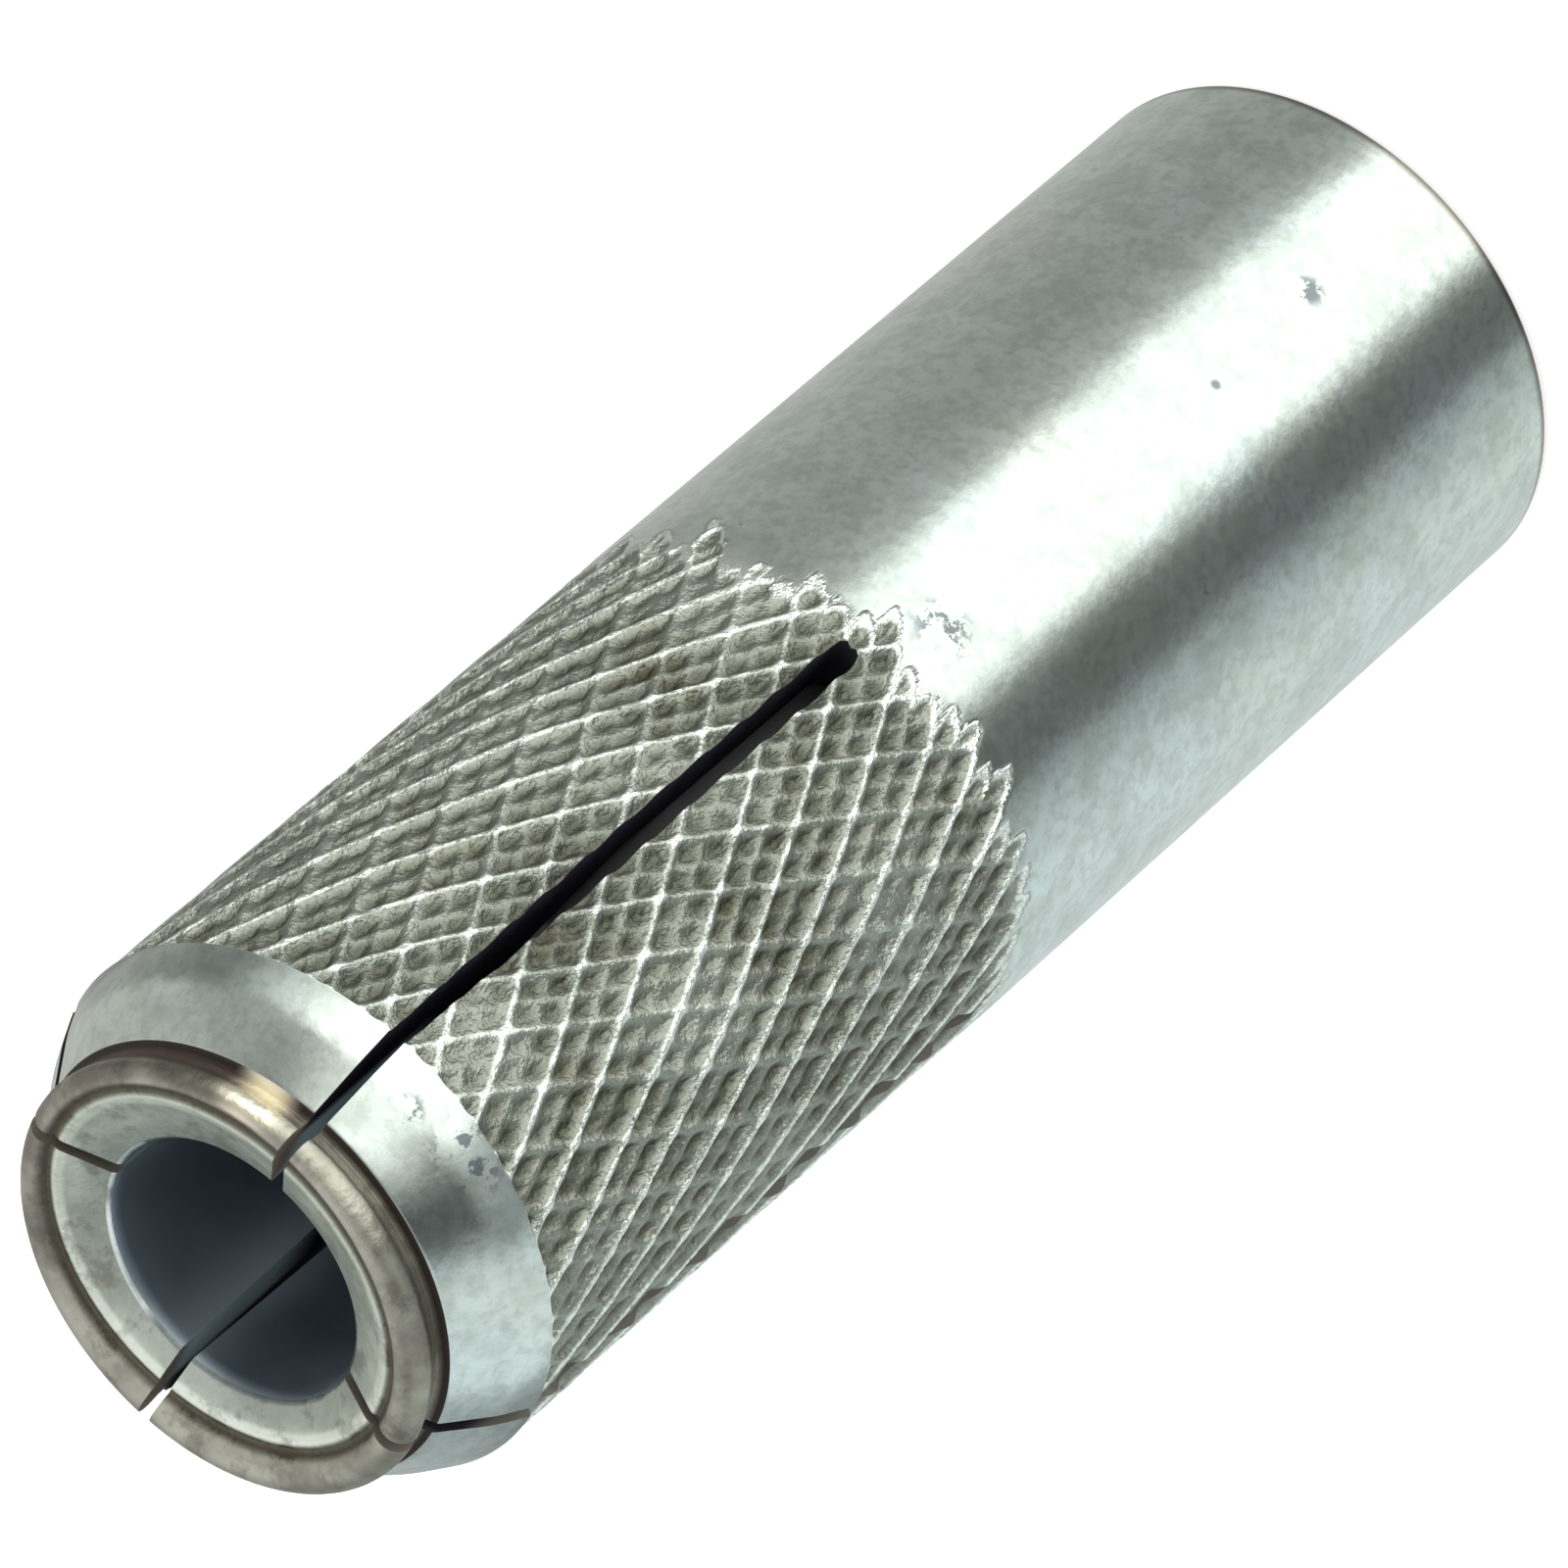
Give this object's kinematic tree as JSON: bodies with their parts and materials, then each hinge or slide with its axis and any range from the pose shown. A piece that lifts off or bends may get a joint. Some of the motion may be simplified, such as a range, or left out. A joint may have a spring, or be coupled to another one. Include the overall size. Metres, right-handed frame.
{
  "type": "knurled drop-in expansion anchor",
  "caption": "Internally threaded steel drop-in anchor sleeve with a diamond-knurled, slotted expansion end, a crimped nose bead and a loose tapered expander plug inside.",
  "frame": {"origin": "centre of the threaded mouth's end face, on the sleeve's axis", "axes": "+Z along the sleeve's axis from the threaded mouth towards the slotted nose; slots on the X and Y axes"},
  "size_m": [0.0096, 0.0096, 0.03],
  "materials": {
    "sleeve_zinc_plate": "bright zinc plate with a faint green-blue tint, mottled and lightly scuffed",
    "plug_steel": "turned steel with a thin zinc plate"
  },
  "bodies": {
    "sleeve": {"sleeve": "sleeve_zinc_plate"},
    "plug": {"expander_plug": "plug_steel"}
  },
  "joints": [
    {"name": "plug_slide", "type": "slide", "parent": "sleeve", "child": "plug", "axis": [0, 0, 1], "range_m": [0, 0.0015]}
  ]
}
